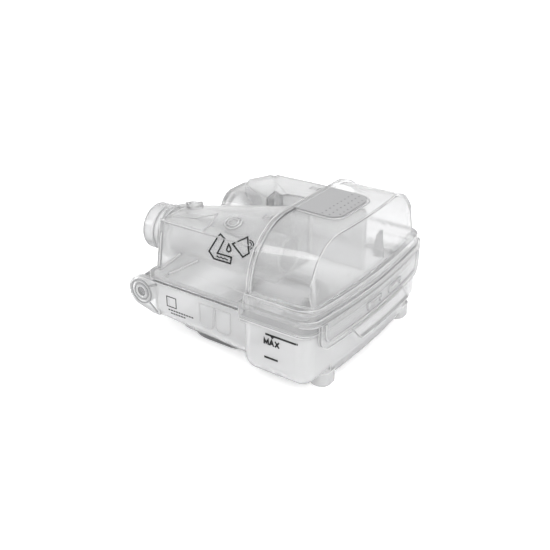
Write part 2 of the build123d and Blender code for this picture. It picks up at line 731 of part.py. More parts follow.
with BuildPart() as inlet_tube:
    for shrink, mode in ((0, Mode.ADD), (inlet_wall, Mode.SUBTRACT)):
        with BuildSketch(Plane.YZ.offset(near_rear_x)):
            with Locations((near_axis_y, near_axis_z)):
                Circle(inlet_radius - shrink)
        with BuildSketch(Plane.YZ.offset(near_rear_x + rear_wall)):
            with Locations((near_axis_y, near_axis_z)):
                Circle(inlet_radius - shrink)
        loft(mode=mode)
        with BuildSketch(Plane.YZ.offset(near_rear_x + rear_wall)):
            with Locations((near_axis_y, near_axis_z)):
                Circle(inlet_radius - shrink)
        with BuildSketch(Plane.YZ.offset(inlet_end_x)):
            with Locations((inlet_end_y, inlet_end_z)):
                Circle(inlet_end_radius - shrink)
        loft(mode=mode)
inlet_tube.part.label = "inlet_tube"
export_step(inlet_tube.part, "parts/inlet_tube.step")


with BuildPart() as outlet_tube:
    with BuildSketch(Plane.YZ.offset(far_rear_x)):
        add(arched_port(outlet_tube_radius, outlet_floor_z))
        add(arched_port(outlet_tube_radius - outlet_tube_wall, outlet_floor_z + outlet_tube_wall),
            mode=Mode.SUBTRACT)
    extrude(amount=outlet_tube_length)
outlet_tube.part.label = "outlet_tube"
export_step(outlet_tube.part, "parts/outlet_tube.step")


with BuildPart() as outlet_seal:
    with BuildSketch(Plane.YZ.offset(far_rear_x)):
        add(arched_port(outlet_ring_radius, outlet_floor_z - outlet_tube_wall))
        add(arched_port(outlet_bore, outlet_floor_z + outlet_tube_wall), mode=Mode.SUBTRACT)
    extrude(amount=-outlet_ring_length)
    fillet(outlet_seal.faces().sort_by(Axis.X)[0].edges(), radius=outlet_ring_length / 5)
outlet_seal.part.label = "outlet_seal"
export_step(outlet_seal.part, "parts/outlet_seal.step")


with BuildPart() as splash_baffle:
    with Locations((seam_x, baffle_y, baffle_bottom_z)):
        Box(baffle_front_x - seam_x, baffle_thickness, dome_top_rear - baffle_bottom_z,
            align=(Align.MIN, Align.CENTER, Align.MIN))
    add(dome_block(lid_wall), mode=Mode.INTERSECT)
splash_baffle.part.label = "splash_baffle"
export_step(splash_baffle.part, "parts/splash_baffle.step")


for name, side in (("hinge_pin_left", -1), ("hinge_pin_right", 1)):
    with BuildPart() as hinge_pin:
        with BuildSketch(Plane.XZ.offset(-side * (barrel_half - plug_length))):
            with Locations((hinge_x, hinge_z)):
                Circle(barrel_radius - barrel_wall)
        extrude(amount=-side * plug_length)
        with BuildSketch(Plane.XZ.offset(-side * barrel_half)):
            with Locations((hinge_x, hinge_z)):
                Circle(pin_radius)
        extrude(amount=-side * (insert_half - pin_end_gap - barrel_half))
    hinge_pin.part.label = name
    export_step(hinge_pin.part, f"parts/{name}.step")
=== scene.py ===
# %% [markdown]
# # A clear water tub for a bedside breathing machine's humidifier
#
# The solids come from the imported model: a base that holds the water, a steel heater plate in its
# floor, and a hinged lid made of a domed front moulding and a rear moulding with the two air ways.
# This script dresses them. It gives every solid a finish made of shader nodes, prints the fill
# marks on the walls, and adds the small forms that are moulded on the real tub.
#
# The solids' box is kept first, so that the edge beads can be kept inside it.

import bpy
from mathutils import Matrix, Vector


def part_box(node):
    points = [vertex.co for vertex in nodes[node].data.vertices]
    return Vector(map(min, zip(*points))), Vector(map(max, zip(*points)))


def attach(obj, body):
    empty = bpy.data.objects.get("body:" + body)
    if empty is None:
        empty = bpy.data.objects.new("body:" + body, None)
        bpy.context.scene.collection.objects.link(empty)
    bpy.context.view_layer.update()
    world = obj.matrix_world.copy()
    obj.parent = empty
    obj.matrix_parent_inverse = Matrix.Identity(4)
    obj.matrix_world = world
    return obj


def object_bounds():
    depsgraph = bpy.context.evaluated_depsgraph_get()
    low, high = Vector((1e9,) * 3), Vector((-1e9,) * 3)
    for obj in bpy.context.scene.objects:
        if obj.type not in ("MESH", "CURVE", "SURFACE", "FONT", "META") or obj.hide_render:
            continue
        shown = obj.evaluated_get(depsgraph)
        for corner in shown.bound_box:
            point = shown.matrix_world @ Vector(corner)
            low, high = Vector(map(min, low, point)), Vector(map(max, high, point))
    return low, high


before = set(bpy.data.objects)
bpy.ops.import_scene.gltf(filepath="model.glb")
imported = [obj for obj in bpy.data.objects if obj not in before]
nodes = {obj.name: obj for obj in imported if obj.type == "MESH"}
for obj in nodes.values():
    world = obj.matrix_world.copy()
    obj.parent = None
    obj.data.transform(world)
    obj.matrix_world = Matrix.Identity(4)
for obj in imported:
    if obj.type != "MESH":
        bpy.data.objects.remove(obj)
cad_box = [list(corner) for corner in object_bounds()]
print("solids:", len(nodes), "box:", cad_box)

# %% [markdown]
# ## Units and new pieces
#
# Lengths are written in millimetres and multiplied by one named value, because Blender works in
# metres. A new piece could carry its place on its object, but a pattern that reads Object
# coordinates would then slide when the lid turns. So each object stays at the origin and its mesh
# holds its place, as the solids' meshes do.

# %% Units and new pieces
import bpy
import bmesh
from math import cos, pi, radians, sin
from mathutils import Matrix, Vector
from mathutils.bvhtree import BVHTree

MM = 0.001


def new_object(name, mesh, material):
    """A mesh object at the origin, with its place in its mesh."""
    obj = bpy.data.objects.new(name, mesh)
    bpy.context.scene.collection.objects.link(obj)
    mesh.materials.clear()
    mesh.materials.append(material)
    return obj


print("one millimetre is", MM, "metres")

# %% [markdown]
# ## Camera
#
# The camera looks from the front and the near side, from a little above. It could be turned by
# three angles, but it is placed by a point that it looks at, a distance, and two angles, so that
# each number can be read on its own. The lens is a long one, which keeps the tub's upright edges
# nearly parallel.

# %% Camera
view_azimuth = radians(34.427)
view_elevation = radians(27.042)
view_distance = 472.425 * MM
look_at = Vector((16.453, -26.843, 45.0)) * MM

towards = Vector((sin(view_azimuth) * cos(view_elevation), -cos(view_azimuth) * cos(view_elevation),
                  sin(view_elevation)))
across = Vector((cos(view_azimuth), sin(view_azimuth), 0))
upwards = towards.cross(across)
camera_data = bpy.data.cameras.new("camera")
camera_data.lens = 53.515
camera_data.sensor_width = 36
camera_data.clip_start = 0.01
camera = bpy.data.objects.new("camera", camera_data)
bpy.context.scene.collection.objects.link(camera)
camera_turn = Matrix((across, upwards, towards)).transposed().to_4x4()
camera.matrix_world = Matrix.Translation(look_at + towards * view_distance) @ camera_turn
bpy.context.scene.camera = camera
print("camera at", [round(v, 3) for v in camera.location])

# %% [markdown]
# ## World
#
# Clear plastic has no colour of its own: it shows what is round it. So the room matters more than
# the lamps. A picture of a real studio could stand round the tub, but a plain pale room needs no
# file. The room gives the light, and a white backdrop takes its place for the camera, for rays
# that the plastic reflects, and for rays that pass through it.

# %% World
scene = bpy.context.scene
scene.view_settings.view_transform = "Standard"
# light crosses up to a dozen walls of the tub, and each wall has two faces
deepest_path = 48
scene.cycles.max_bounces = deepest_path
scene.cycles.transmission_bounces = deepest_path
scene.cycles.transparent_max_bounces = deepest_path
scene.cycles.glossy_bounces = 24


def either(tree, first, second):
    """A mask that is on where one of two masks is on."""
    total = tree.nodes.new("ShaderNodeMath")
    total.operation = "ADD"
    total.use_clamp = True
    tree.links.new(first, total.inputs[0])
    tree.links.new(second, total.inputs[1])
    return total.outputs[0]


world = bpy.data.worlds.new("room")
scene.world = world
world.use_nodes = True
tree = world.node_tree
tree.nodes.clear()
room_light = tree.nodes.new("ShaderNodeBackground")
room_light.inputs["Color"].default_value = (0.99, 0.99, 1.0, 1)
room_light.inputs["Strength"].default_value = 1.0
backdrop = tree.nodes.new("ShaderNodeBackground")
backdrop.inputs["Color"].default_value = (1, 1, 1, 1)
backdrop.inputs["Strength"].default_value = 1.0
ray = tree.nodes.new("ShaderNodeLightPath")
seen = either(tree, ray.outputs["Is Camera Ray"], ray.outputs["Is Transmission Ray"])
seen_or_mirrored = either(tree, seen, ray.outputs["Is Glossy Ray"])
choose = tree.nodes.new("ShaderNodeMixShader")
world_out = tree.nodes.new("ShaderNodeOutputWorld")
tree.links.new(seen_or_mirrored, choose.inputs[0])
tree.links.new(room_light.outputs[0], choose.inputs[1])
tree.links.new(backdrop.outputs[0], choose.inputs[2])
tree.links.new(choose.outputs[0], world_out.inputs[0])
print("world nodes:", len(tree.nodes))

# %% [markdown]
# ## Lamps
#
# Three long soft lamps draw the long highlights: one over the tub, one at its near side and one
# in front of it. Small lamps would leave dots on the plastic, and wide ones would wash it out.

# %% Lamps
lamp_aim = Vector((0, 0, 0.04))


def soft_lamp(name, place, width, height, watts):
    """A long rectangular lamp that faces the middle of the tub."""
    data = bpy.data.lights.new(name, "AREA")
    data.shape = "RECTANGLE"
    data.size = width
    data.size_y = height
    data.energy = watts
    lamp = bpy.data.objects.new(name, data)
    scene.collection.objects.link(lamp)
    lamp.location = place
    lamp.rotation_euler = (lamp_aim - Vector(place)).to_track_quat("-Z", "Y").to_euler()


soft_lamp("lamp_over", (0.15, 0.25, 0.85), width=0.9, height=0.14, watts=1.6)
soft_lamp("lamp_side", (-0.55, -0.6, 0.6), width=0.14, height=0.8, watts=1.2)
soft_lamp("lamp_front", (0.8, -0.35, 0.5), width=0.14, height=0.7, watts=0.8)

# %% [markdown]
# ## Floor
#
# The floor is one large pale sheet that catches the tub's soft shadow. A white floor would need
# more light to look white, and that light would bleach the tub. So the sheet glows a little, and
# only for the camera and for rays through the plastic.

# %% Floor
floor_reach = 3.0
floor_glow = 0.42
floor_corners = [(-floor_reach, -floor_reach, 0), (floor_reach, -floor_reach, 0),
                 (floor_reach, floor_reach, 0), (-floor_reach, floor_reach, 0)]
floor_mesh = bpy.data.meshes.new("floor")
floor_mesh.from_pydata(floor_corners, [], [(0, 1, 2, 3)])
floor_sheet = bpy.data.materials.new("floor_sheet")
floor_sheet.use_nodes = True
tree = floor_sheet.node_tree
sheet = tree.nodes["Principled BSDF"]
sheet.inputs["Base Color"].default_value = (0.93, 0.93, 0.93, 1)
sheet.inputs["Roughness"].default_value = 0.9
sheet.inputs["Specular IOR Level"].default_value = 0.1
sheet.inputs["Emission Color"].default_value = (1, 1, 1, 1)
ray = tree.nodes.new("ShaderNodeLightPath")
seen = either(tree, ray.outputs["Is Camera Ray"], ray.outputs["Is Transmission Ray"])
lift = tree.nodes.new("ShaderNodeMath")
lift.operation = "MULTIPLY"
lift.inputs[1].default_value = floor_glow
tree.links.new(seen, lift.inputs[0])
tree.links.new(lift.outputs[0], sheet.inputs["Emission Strength"])
floor = new_object("floor", floor_mesh, floor_sheet)
print("floor width in metres:", 2 * floor_reach)

# %% [markdown]
# ## Moulded surface
#
# Moulded plastic is never perfectly flat. Its surface has a slow waviness, drawn out along the
# way that the plastic flowed, and a very fine grain, and both bend the light a little. Every
# plastic on the tub has them. They could be built anew in each material, but they are made once,
# as a node group with named inputs, and each finish places the group with its own values. The
# group gives out a roughness and a height that change over the surface, and the shader stays in
# each material.

# %% Moulded surface
grain_scale = 1800.0
grain_share = 0.15
flow_stretch = (0.22, 1.0, 1.0)


def add_sockets(group, direction, kind, defaults):
    """Named sockets of one kind on a node group, each with its default value."""
    for name, value in defaults.items():
        socket = group.interface.new_socket(name, in_out=direction, socket_type="NodeSocket" + kind)
        if value is not None:
            socket.default_value = value


moulding = bpy.data.node_groups.new("moulding", "ShaderNodeTree")
add_sockets(moulding, "INPUT", "Float", {"Wave Scale": 110.0, "Grain Scale": grain_scale,
                                         "Grain": grain_share, "Smooth": 0.02, "Rough": 0.07})
add_sockets(moulding, "OUTPUT", "Float", {"Roughness": None, "Height": None})
link = moulding.links.new
given = moulding.nodes.new("NodeGroupInput")
result = moulding.nodes.new("NodeGroupOutput")
where = moulding.nodes.new("ShaderNodeTexCoord")
flow = moulding.nodes.new("ShaderNodeMapping")
flow.inputs["Scale"].default_value = flow_stretch
wave = moulding.nodes.new("ShaderNodeTexNoise")
wave.inputs["Detail"].default_value = 2.0
grain = moulding.nodes.new("ShaderNodeTexNoise")
grain.inputs["Detail"].default_value = 3.0
link(where.outputs["Object"], flow.inputs["Vector"])
link(flow.outputs["Vector"], wave.inputs["Vector"])
link(where.outputs["Object"], grain.inputs["Vector"])
link(given.outputs["Wave Scale"], wave.inputs["Scale"])
link(given.outputs["Grain Scale"], grain.inputs["Scale"])
fine = moulding.nodes.new("ShaderNodeMath")
fine.operation = "MULTIPLY"
link(grain.outputs["Fac"], fine.inputs[0])
link(given.outputs["Grain"], fine.inputs[1])
both = moulding.nodes.new("ShaderNodeMath")
both.operation = "ADD"
link(wave.outputs["Fac"], both.inputs[0])
link(fine.outputs[0], both.inputs[1])
link(both.outputs[0], result.inputs["Height"])
gloss = moulding.nodes.new("ShaderNodeMapRange")
gloss.inputs["From Min"].default_value = 0.3
gloss.inputs["From Max"].default_value = 0.7
link(wave.outputs["Fac"], gloss.inputs["Value"])
link(given.outputs["Smooth"], gloss.inputs["To Min"])
link(given.outputs["Rough"], gloss.inputs["To Max"])
link(gloss.outputs["Result"], result.inputs["Roughness"])
print("group:", moulding.name, [socket.name for socket in moulding.interface.items_tree])

# %% [markdown]
# ## Clear finishes
#
# Clear plastic looks darker where the eye looks along a wall, because the path through it is
# longer. Fog inside the walls would show that too, but it is slow. A Layer Weight node mixes a
# darker tint in at such glancing angles, and that draws the thin grey outlines by which one reads
# a clear object. The transmission stays below 1, because moulded plastic is a little milky.

# %% Clear finishes
coat_roughness = 0.03
moulded_relief = 1.0 * MM


def tinted(tree, shader, mask, first, second):
    """Base colour that goes from one colour to another with a mask."""
    tint = tree.nodes.new("ShaderNodeMix")
    tint.data_type = "RGBA"
    tint.inputs["A"].default_value = (*first, 1)
    tint.inputs["B"].default_value = (*second, 1)
    tree.links.new(mask, tint.inputs["Factor"])
    tree.links.new(tint.outputs["Result"], shader.inputs["Base Color"])


def bumped(tree, shader, height, strength, distance):
    """Small relief in the shader's normal."""
    relief = tree.nodes.new("ShaderNodeBump")
    relief.inputs["Strength"].default_value = strength
    relief.inputs["Distance"].default_value = distance
    tree.links.new(height, relief.inputs["Height"])
    tree.links.new(relief.outputs["Normal"], shader.inputs["Normal"])


def clear_finish(name, pale, dark, edge, transmission, ior, smooth=0.02, rough=0.07, bump=0.25,
                 wave=110.0, coat=0.8):
    """A see-through finish that darkens towards glancing angles."""
    material = bpy.data.materials.new(name)
    material.use_nodes = True
    tree = material.node_tree
    shader = tree.nodes["Principled BSDF"]
    shader.inputs["Transmission Weight"].default_value = transmission
    shader.inputs["IOR"].default_value = ior
    shader.inputs["Coat Weight"].default_value = coat
    shader.inputs["Coat Roughness"].default_value = coat_roughness
    surface = tree.nodes.new("ShaderNodeGroup")
    surface.node_tree = moulding
    surface.inputs["Wave Scale"].default_value = wave
    surface.inputs["Grain Scale"].default_value = grain_scale
    surface.inputs["Grain"].default_value = grain_share
    surface.inputs["Smooth"].default_value = smooth
    surface.inputs["Rough"].default_value = rough
    tree.links.new(surface.outputs["Roughness"], shader.inputs["Roughness"])
    bumped(tree, shader, surface.outputs["Height"], bump, moulded_relief)
    glance = tree.nodes.new("ShaderNodeLayerWeight")
    glance.inputs["Blend"].default_value = edge
    tinted(tree, shader, glance.outputs["Facing"], pale, dark)
    return material


clear_wall = clear_finish("clear_wall", (0.993, 0.994, 0.995), (0.79, 0.793, 0.796), edge=0.32,
                          transmission=0.6, ior=1.26)
clear_dome = clear_finish("clear_dome", (0.992, 0.993, 0.994), (0.72, 0.723, 0.726), edge=0.32,
                          transmission=0.8, ior=1.26)
clear_rear = clear_finish("clear_rear", (0.992, 0.993, 0.994), (0.72, 0.723, 0.726), edge=0.36,
                          transmission=0.74, ior=1.32, bump=0.5, wave=90.0)
clear_duct = clear_finish("clear_duct", (0.985, 0.986, 0.988), (0.45, 0.453, 0.456), edge=0.42,
                          transmission=0.72, ior=1.28)
# the hinge pins' darker tints are painted shade of the hinge
clear_pin = clear_finish("clear_pin", (0.66, 0.662, 0.665), (0.45, 0.452, 0.455), edge=0.35,
                         transmission=0.7, ior=1.25)
ridge_clear = clear_finish("ridge_clear", (0.99, 0.99, 0.99), (0.36, 0.362, 0.365), edge=0.45,
                           transmission=0.55, ior=1.3, coat=1.0)
# a whiter, less clear finish than the walls: it paints a highlight along each bead
edge_painted_highlight = clear_finish("edge_painted_highlight", (1.0, 1.0, 1.0), (0.80, 0.802, 0.805), edge=0.3,
                           transmission=0.35, ior=1.3, coat=1.0)
print("clear finishes: 7")

# %% [markdown]
# ## Frosted and soft finishes
#
# The nozzle and its collar are satin, the seals are soft silicone, and the drip rib and the rings
# round the hinge pins get a grey finish, which is painted shade. They could be separate shaders,
# but the same finish makes them all, with more roughness and less transmission.

# %% Frosted and soft finishes
frosted = clear_finish("frosted_plastic", (0.80, 0.802, 0.805), (0.50, 0.502, 0.505), edge=0.38,
                       transmission=0.5, smooth=0.18, rough=0.32, bump=0.08, ior=1.3)
silicone = clear_finish("silicone", (0.97, 0.971, 0.973), (0.86, 0.861, 0.863), edge=0.3,
                        transmission=0.7, smooth=0.3, rough=0.45, bump=0.1, ior=1.15, coat=0.0)
seal_film = clear_finish("seal_film", (0.99, 0.991, 0.992), (0.95, 0.951, 0.952), edge=0.2,
                         transmission=0.96, smooth=0.1, rough=0.2, bump=0.05, ior=1.06, coat=0.0)
# painted shade: a grey, less clear finish stands in for the shade on the drip rib and the hinge's rings and
# webs
rib_painted_shade = clear_finish("rib_painted_shade", (0.46, 0.462, 0.465), (0.30, 0.302, 0.305), edge=0.4,
                         transmission=0.25, smooth=0.15, rough=0.3, ior=1.3)
print("frosted and soft finishes: 4")

# %% [markdown]
# ## Rubber, steel and ink
#
# The thumb grip is a soft grey rubber with a fine matt grain. The heater plate is brushed steel,
# whose brush lines run along the tub, and the prints are black ink. All of them are opaque and
# share one effect: a fine noise that varies the colour, the gloss and the relief. It is a second
# node group, and the steel stretches it into lines.

# %% Fine grain
fine_grain = bpy.data.node_groups.new("fine_grain", "ShaderNodeTree")
add_sockets(fine_grain, "INPUT", "Float", {"Scale": 1500.0, "Smooth": 0.6, "Rough": 0.8})
add_sockets(fine_grain, "INPUT", "Vector", {"Stretch": (1, 1, 1)})
add_sockets(fine_grain, "OUTPUT", "Float", {"Roughness": None, "Speckle": None})
link = fine_grain.links.new
given = fine_grain.nodes.new("NodeGroupInput")
result = fine_grain.nodes.new("NodeGroupOutput")
where = fine_grain.nodes.new("ShaderNodeTexCoord")
drawn_out = fine_grain.nodes.new("ShaderNodeMapping")
noise = fine_grain.nodes.new("ShaderNodeTexNoise")
noise.inputs["Detail"].default_value = 4.0
gloss = fine_grain.nodes.new("ShaderNodeMapRange")
link(where.outputs["Object"], drawn_out.inputs["Vector"])
link(given.outputs["Stretch"], drawn_out.inputs["Scale"])
link(drawn_out.outputs["Vector"], noise.inputs["Vector"])
link(given.outputs["Scale"], noise.inputs["Scale"])
link(noise.outputs["Fac"], gloss.inputs["Value"])
link(given.outputs["Smooth"], gloss.inputs["To Min"])
link(given.outputs["Rough"], gloss.inputs["To Max"])
link(gloss.outputs["Result"], result.inputs["Roughness"])
link(noise.outputs["Fac"], result.inputs["Speckle"])
print("group:", fine_grain.name, [socket.name for socket in fine_grain.interface.items_tree])

# %% Rubber, steel and ink
fine_relief = 0.4 * MM


def solid_finish(name, first, second, scale, smooth, rough, bump, metallic=0.0, stretch=(1, 1, 1)):
    """An opaque finish whose colour, gloss and relief vary with the fine grain."""
    material = bpy.data.materials.new(name)
    material.use_nodes = True
    tree = material.node_tree
    shader = tree.nodes["Principled BSDF"]
    shader.inputs["Metallic"].default_value = metallic
    surface = tree.nodes.new("ShaderNodeGroup")
    surface.node_tree = fine_grain
    surface.inputs["Scale"].default_value = scale
    surface.inputs["Smooth"].default_value = smooth
    surface.inputs["Rough"].default_value = rough
    surface.inputs["Stretch"].default_value = stretch
    tree.links.new(surface.outputs["Roughness"], shader.inputs["Roughness"])
    tinted(tree, shader, surface.outputs["Speckle"], first, second)
    bumped(tree, shader, surface.outputs["Speckle"], bump, fine_relief)
    return material


grip_rubber = solid_finish("grip_rubber", (0.345, 0.345, 0.347), (0.405, 0.405, 0.407),
                           scale=1500.0, smooth=0.6, rough=0.8, bump=0.3)
plate_steel = solid_finish("plate_steel", (0.86, 0.86, 0.865), (0.95, 0.95, 0.955),
                           scale=900.0, smooth=0.3, rough=0.45, bump=0.1, metallic=1.0, stretch=(0.05, 1, 1))
print_ink = solid_finish("print_ink", (0.004, 0.004, 0.004), (0.012, 0.012, 0.013),
                         scale=2500.0, smooth=0.7, rough=0.9, bump=0.05)
# grey ink for the thin print on the rear part, and painted shade on the grip's moulded dots
grey_ink_and_painted_dot_shade = solid_finish("grey_ink_and_painted_dot_shade", (0.16, 0.16, 0.165), (0.24, 0.24, 0.245),
                         scale=2500.0, smooth=0.6, rough=0.8, bump=0.1)
print("solid finishes: 4")

# %% [markdown]
# ## Finish each solid
#
# The two lid mouldings and the base are one kind of plastic, but each has a finish of its own:
# the base is the milkiest, and the ducts are the darkest, so that they can be made out through
# the lid. One table says which solid gets which finish, and each of the solid's slots is set.

# %% Finish each solid
finish_of = {
    "base_tub": clear_wall, "lid_dome": clear_dome, "front_panel": clear_dome, "lid_rear": clear_rear,
    "inlet_tube": clear_duct, "outlet_tube": clear_duct, "splash_baffle": clear_duct,
    "plate_frame": clear_duct, "catch_left": clear_duct, "catch_right": clear_duct,
    "inlet_collar": frosted, "inlet_nozzle": frosted, "outlet_seal": silicone, "mid_seal": silicone,
    "plate_seal": seal_film, "heater_plate": plate_steel, "thumb_grip": grip_rubber,
    "hinge_pin_left": clear_pin, "hinge_pin_right": clear_pin,
}
for name, material in finish_of.items():
    for slot in nodes[name].material_slots:
        slot.material = material
print("finished solids:", len(finish_of), "of", len(nodes))

# %% [markdown]
# ## Finding a place on a wall
#
# Some marks are placed by where they are seen, and others by a size on the tub. For the first
# kind, a line is cast from the camera's place through a point of the square frame, and the first
# wall that it meets gives the place. Either kind gets an anchor: a point and three directions,
# round which the mark is drawn flat, in millimetres.

# %% Finding a place on a wall
frame_pixels = 550
front_way = (1, 0, 0)
far_way = (0, 1, 0)
near_way = (0, -1, 0)
top_way = (0, 0, 1)


def sight_line(pixel):
    """Start and direction of the camera's line through a pixel of the square frame."""
    spread = camera_data.sensor_width / camera_data.lens / frame_pixels
    right = (pixel[0] - frame_pixels / 2) * spread
    up = (frame_pixels / 2 - pixel[1]) * spread
    return camera.location, (across * right + upwards * up - towards).normalized()


def skin_of(node):
    """Search tree of a solid's faces."""
    mesh = nodes[node].data
    return BVHTree.FromPolygons([v.co for v in mesh.vertices], [p.vertices for p in mesh.polygons])


def seen_at(skin, pixel):
    """Point and outward normal where the camera first meets the skin."""
    start, direction = sight_line(pixel)
    point, normal = skin.ray_cast(start, direction)[:2]
    return point, normal


def wall_anchor(origin, normal, along):
    """Flat axes on a wall: origin, direction to the right, direction up, outward normal."""
    normal = Vector(normal).normalized()
    right = (Vector(along) - Vector(along).dot(normal) * normal).normalized()
    return Vector(origin), right, normal.cross(right), normal


channel_skin = skin_of("lid_rear")
print("sight line through the frame's middle:", sight_line((frame_pixels / 2, frame_pixels / 2))[1])

# %% [markdown]
# ## Flat paths
#
# A mark starts as a flat path. Its corners are mitred, as a joiner cuts a frame, so that a stroke
# keeps its width round them. Its long runs are cut into short ones, because a stroke can follow a
# curved wall only where it has points. Round parts come from arcs.

# %% Flat paths
sharpest_mitre = 0.5
longest_run = 1.5
nearly_one = 0.999


def mitred(path, closed):
    """Offset to the left at each point of a flat path, longer at its corners."""
    count = len(path)
    offsets = []
    for i in range(count):
        before = Vector(path[i - 1]) if i or closed else None
        after = Vector(path[(i + 1) % count]) if i + 1 < count or closed else None
        here = Vector(path[i])
        legs = [(a, b) for a, b in ((before, here), (here, after)) if a is not None and b is not None]
        sides = [(b - a).normalized() for a, b in legs]
        normals = [Vector((-side.y, side.x)) for side in sides]
        middle = sum(normals, Vector((0, 0))).normalized()
        offsets.append(middle / max(sharpest_mitre, middle.dot(normals[0])))
    return offsets


def divided(path, closed):
    """The same flat path, cut into short runs."""
    ends = path[1:] + path[:1] if closed else path[1:]
    points = []
    for a, b in zip(path, ends):
        a, b = Vector(a), Vector(b)
        pieces = max(1, int((b - a).length / longest_run + nearly_one))
        points += [a.lerp(b, k / pieces) for k in range(pieces)]
    return points if closed else points + [Vector(path[-1])]


def arc(centre, radius, start, end, count, squash=1.0):
    """Flat points round part of a circle, or of an ellipse that is squashed upwards."""
    angles = [radians(start + (end - start) * k / count) for k in range(count + 1)]
    return [(centre[0] + radius * cos(a), centre[1] + radius * squash * sin(a)) for a in angles]


def loop(centre, radius, count, squash=1.0):
    """Flat points round a whole circle or ellipse."""
    return arc(centre, radius, 0, 360 - 360 / count, count - 1, squash)


def open_frame(left, right, low, high, corner):
    """Flat outline that is open above, with round lower corners."""
    quarter = 6
    return ([(left, high)] + arc((left + corner, low + corner), corner, 180, 270, quarter)
            + arc((right - corner, low + corner), corner, -90, 0, quarter) + [(right, high)])


print("points on a circle of 12:", len(loop((0, 0), 1.0, 12)))

# %% [markdown]
# ## Strokes that lie on a wall
#
# Prints and moulded ridges are both strokes: a path drawn on a wall, with a small section swept
# along it. A print is a flat ribbon a few hundredths of a millimetre thick, and a ridge is a half
# round. A painted mask could stand in for a print, but a mesh keeps its sharp edge at any
# distance. Each point of the swept section is dropped on to the solid's own skin, so that a
# stroke follows a curved wall and can't float off it.

# %% Strokes
# each section is a list of shares of the stroke's width and of its height
print_section = ((-0.5, -0.02), (0.5, -0.02), (0.5, 0.04), (-0.5, 0.04))
ridge_section = tuple((0.5 * cos(a), sin(a)) for a in [pi * k / 6 for k in range(7)]) + ((0, -0.3),)
drop_from = 12.0


def stroke_mesh(build, skin, anchor, path, width, height, section, closed):
    """Adds one swept stroke, dropped on to the skin, to a bmesh."""
    origin, right, up, normal = anchor
    path = divided(path, closed)
    rings = []
    for place, left in zip(path, mitred(path, closed)):
        ring = []
        for share, rise in section:
            flat = place - left * width * share
            start = origin + (right * flat.x + up * flat.y + normal * drop_from) * MM
            hit = skin.ray_cast(start, -normal, 2 * drop_from * MM)[0] or start - normal * drop_from * MM
            ring.append(build.verts.new(hit + normal * rise * height * MM))
        rings.append(ring)
    pairs = list(zip(rings, rings[1:])) + ([(rings[-1], rings[0])] if closed else [])
    for ring, after in pairs:
        for k in range(len(ring)):
            build.faces.new((ring[k - 1], ring[k], after[k], after[k - 1]))
    if not closed:
        build.faces.new(rings[0])
        build.faces.new(reversed(rings[-1]))


def strokes(name, node, anchor, paths, closed, width, height, section, body, material):
    """One piece made of strokes on a solid's wall."""
    skin = skin_of(node)
    build = bmesh.new()
    for path in paths:
        stroke_mesh(build, skin, anchor, path, width, height, section, closed)
    bmesh.ops.recalc_face_normals(build, faces=build.faces)
    mesh = bpy.data.meshes.new(name)
    build.to_mesh(mesh)
    build.free()
    piece = new_object(name, mesh, material)
    for polygon in mesh.polygons:
        polygon.use_smooth = section is ridge_section
    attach(piece, body)
    print(name, "faces", len(mesh.polygons))


def prints(name, node, anchor, paths, width, closed=False, body="base", material=print_ink):
    """Flat strokes of ink on a wall."""
    strokes(name, node, anchor, paths, closed, width, 1.0, print_section, body, material)


def ridges(name, node, anchor, paths, width, height, closed=False, body="lid", material=ridge_clear):
    """Half-round strokes of the wall's own plastic."""
    strokes(name, node, anchor, paths, closed, width, height, ridge_section, body, material)


print("points in a print's section:", len(print_section), "and in a ridge's:", len(ridge_section))

# %% [markdown]
# ## Fill marks
#
# The near wall of the water base carries the highest fill line with a small pointer and its word,
# and a lower line. They are printed in black ink. A font could write the word, but a font is a
# file, so the word is drawn with straight strokes.

# %% Fill marks
near_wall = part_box("base_tub")[0][1]
outer_wall = wall_anchor((0, near_wall, 0), near_way, front_way)
fill_z = 32.4
fill_start, fill_end = 37.3, 57.9
low_start, low_end, low_z = 36.5, 45.5, 17.8
pointer_start, pointer_middle, pointer_end = 3.6, 4.5, 5.4
pointer_top, pointer_tip = 0.4, 1.5
letter_width, letter_height, letter_gap = 2.6, 3.6, 0.9
word_start, word_z = 36.6, 26.0


def letter(shape, index):
    """A letter's strokes, from points on a unit square, in its place in the word."""
    left = word_start + index * (letter_width + letter_gap)
    return [[(left + u * letter_width, word_z + v * letter_height) for u, v in run] for run in shape]


letter_m = [[(0, 0), (0, 1), (0.5, 0.25), (1, 1), (1, 0)]]
letter_a = [[(0, 0), (0.5, 1), (1, 0)], [(0.2, 0.35), (0.8, 0.35)]]
letter_x = [[(0, 0), (1, 1)], [(0, 1), (1, 0)]]
word = [run for index, shape in enumerate((letter_m, letter_a, letter_x)) for run in letter(shape, index)]
pointer = [(fill_start + pointer_start, fill_z - pointer_top),
           (fill_start + pointer_middle, fill_z - pointer_tip),
           (fill_start + pointer_end, fill_z - pointer_top)]
fill_rules = [[(fill_start, fill_z), (fill_end, fill_z)], [(low_start, low_z), (low_end, low_z)]]
prints("fill_lines", "base_tub", outer_wall, fill_rules, width=1.3)
prints("fill_pointer", "base_tub", outer_wall, [pointer], width=0.8, closed=True)
prints("fill_word", "base_tub", outer_wall, word, width=1.0)

# %% [markdown]
# ## Marks on the rear part
#
# A plain square and two broken rules stand on the slimmer rear part, where the real tub has small
# print. They carry no words: short dashes give the same grey from a distance.

# %% Marks on the rear part
near_side_y = -60.0
near_side = wall_anchor((0, near_side_y * MM, 0), near_way, front_way)
square_left, square_right, square_low, square_high = -38.4, -31.4, 22.8, 29.3
rule_inset, rule_margin = 1.6, 0.5
upper_rule = (-37.6, -17.0, 20.6)
lower_rule = (-35.9, -23.6, 18.6)


def dashes(start, end, height, dash=1.5, gap=0.45):
    """A rule broken into short dashes."""
    count = int((end - start) / (dash + gap))
    return [[(start + k * (dash + gap), height), (start + k * (dash + gap) + dash, height)]
            for k in range(count)]


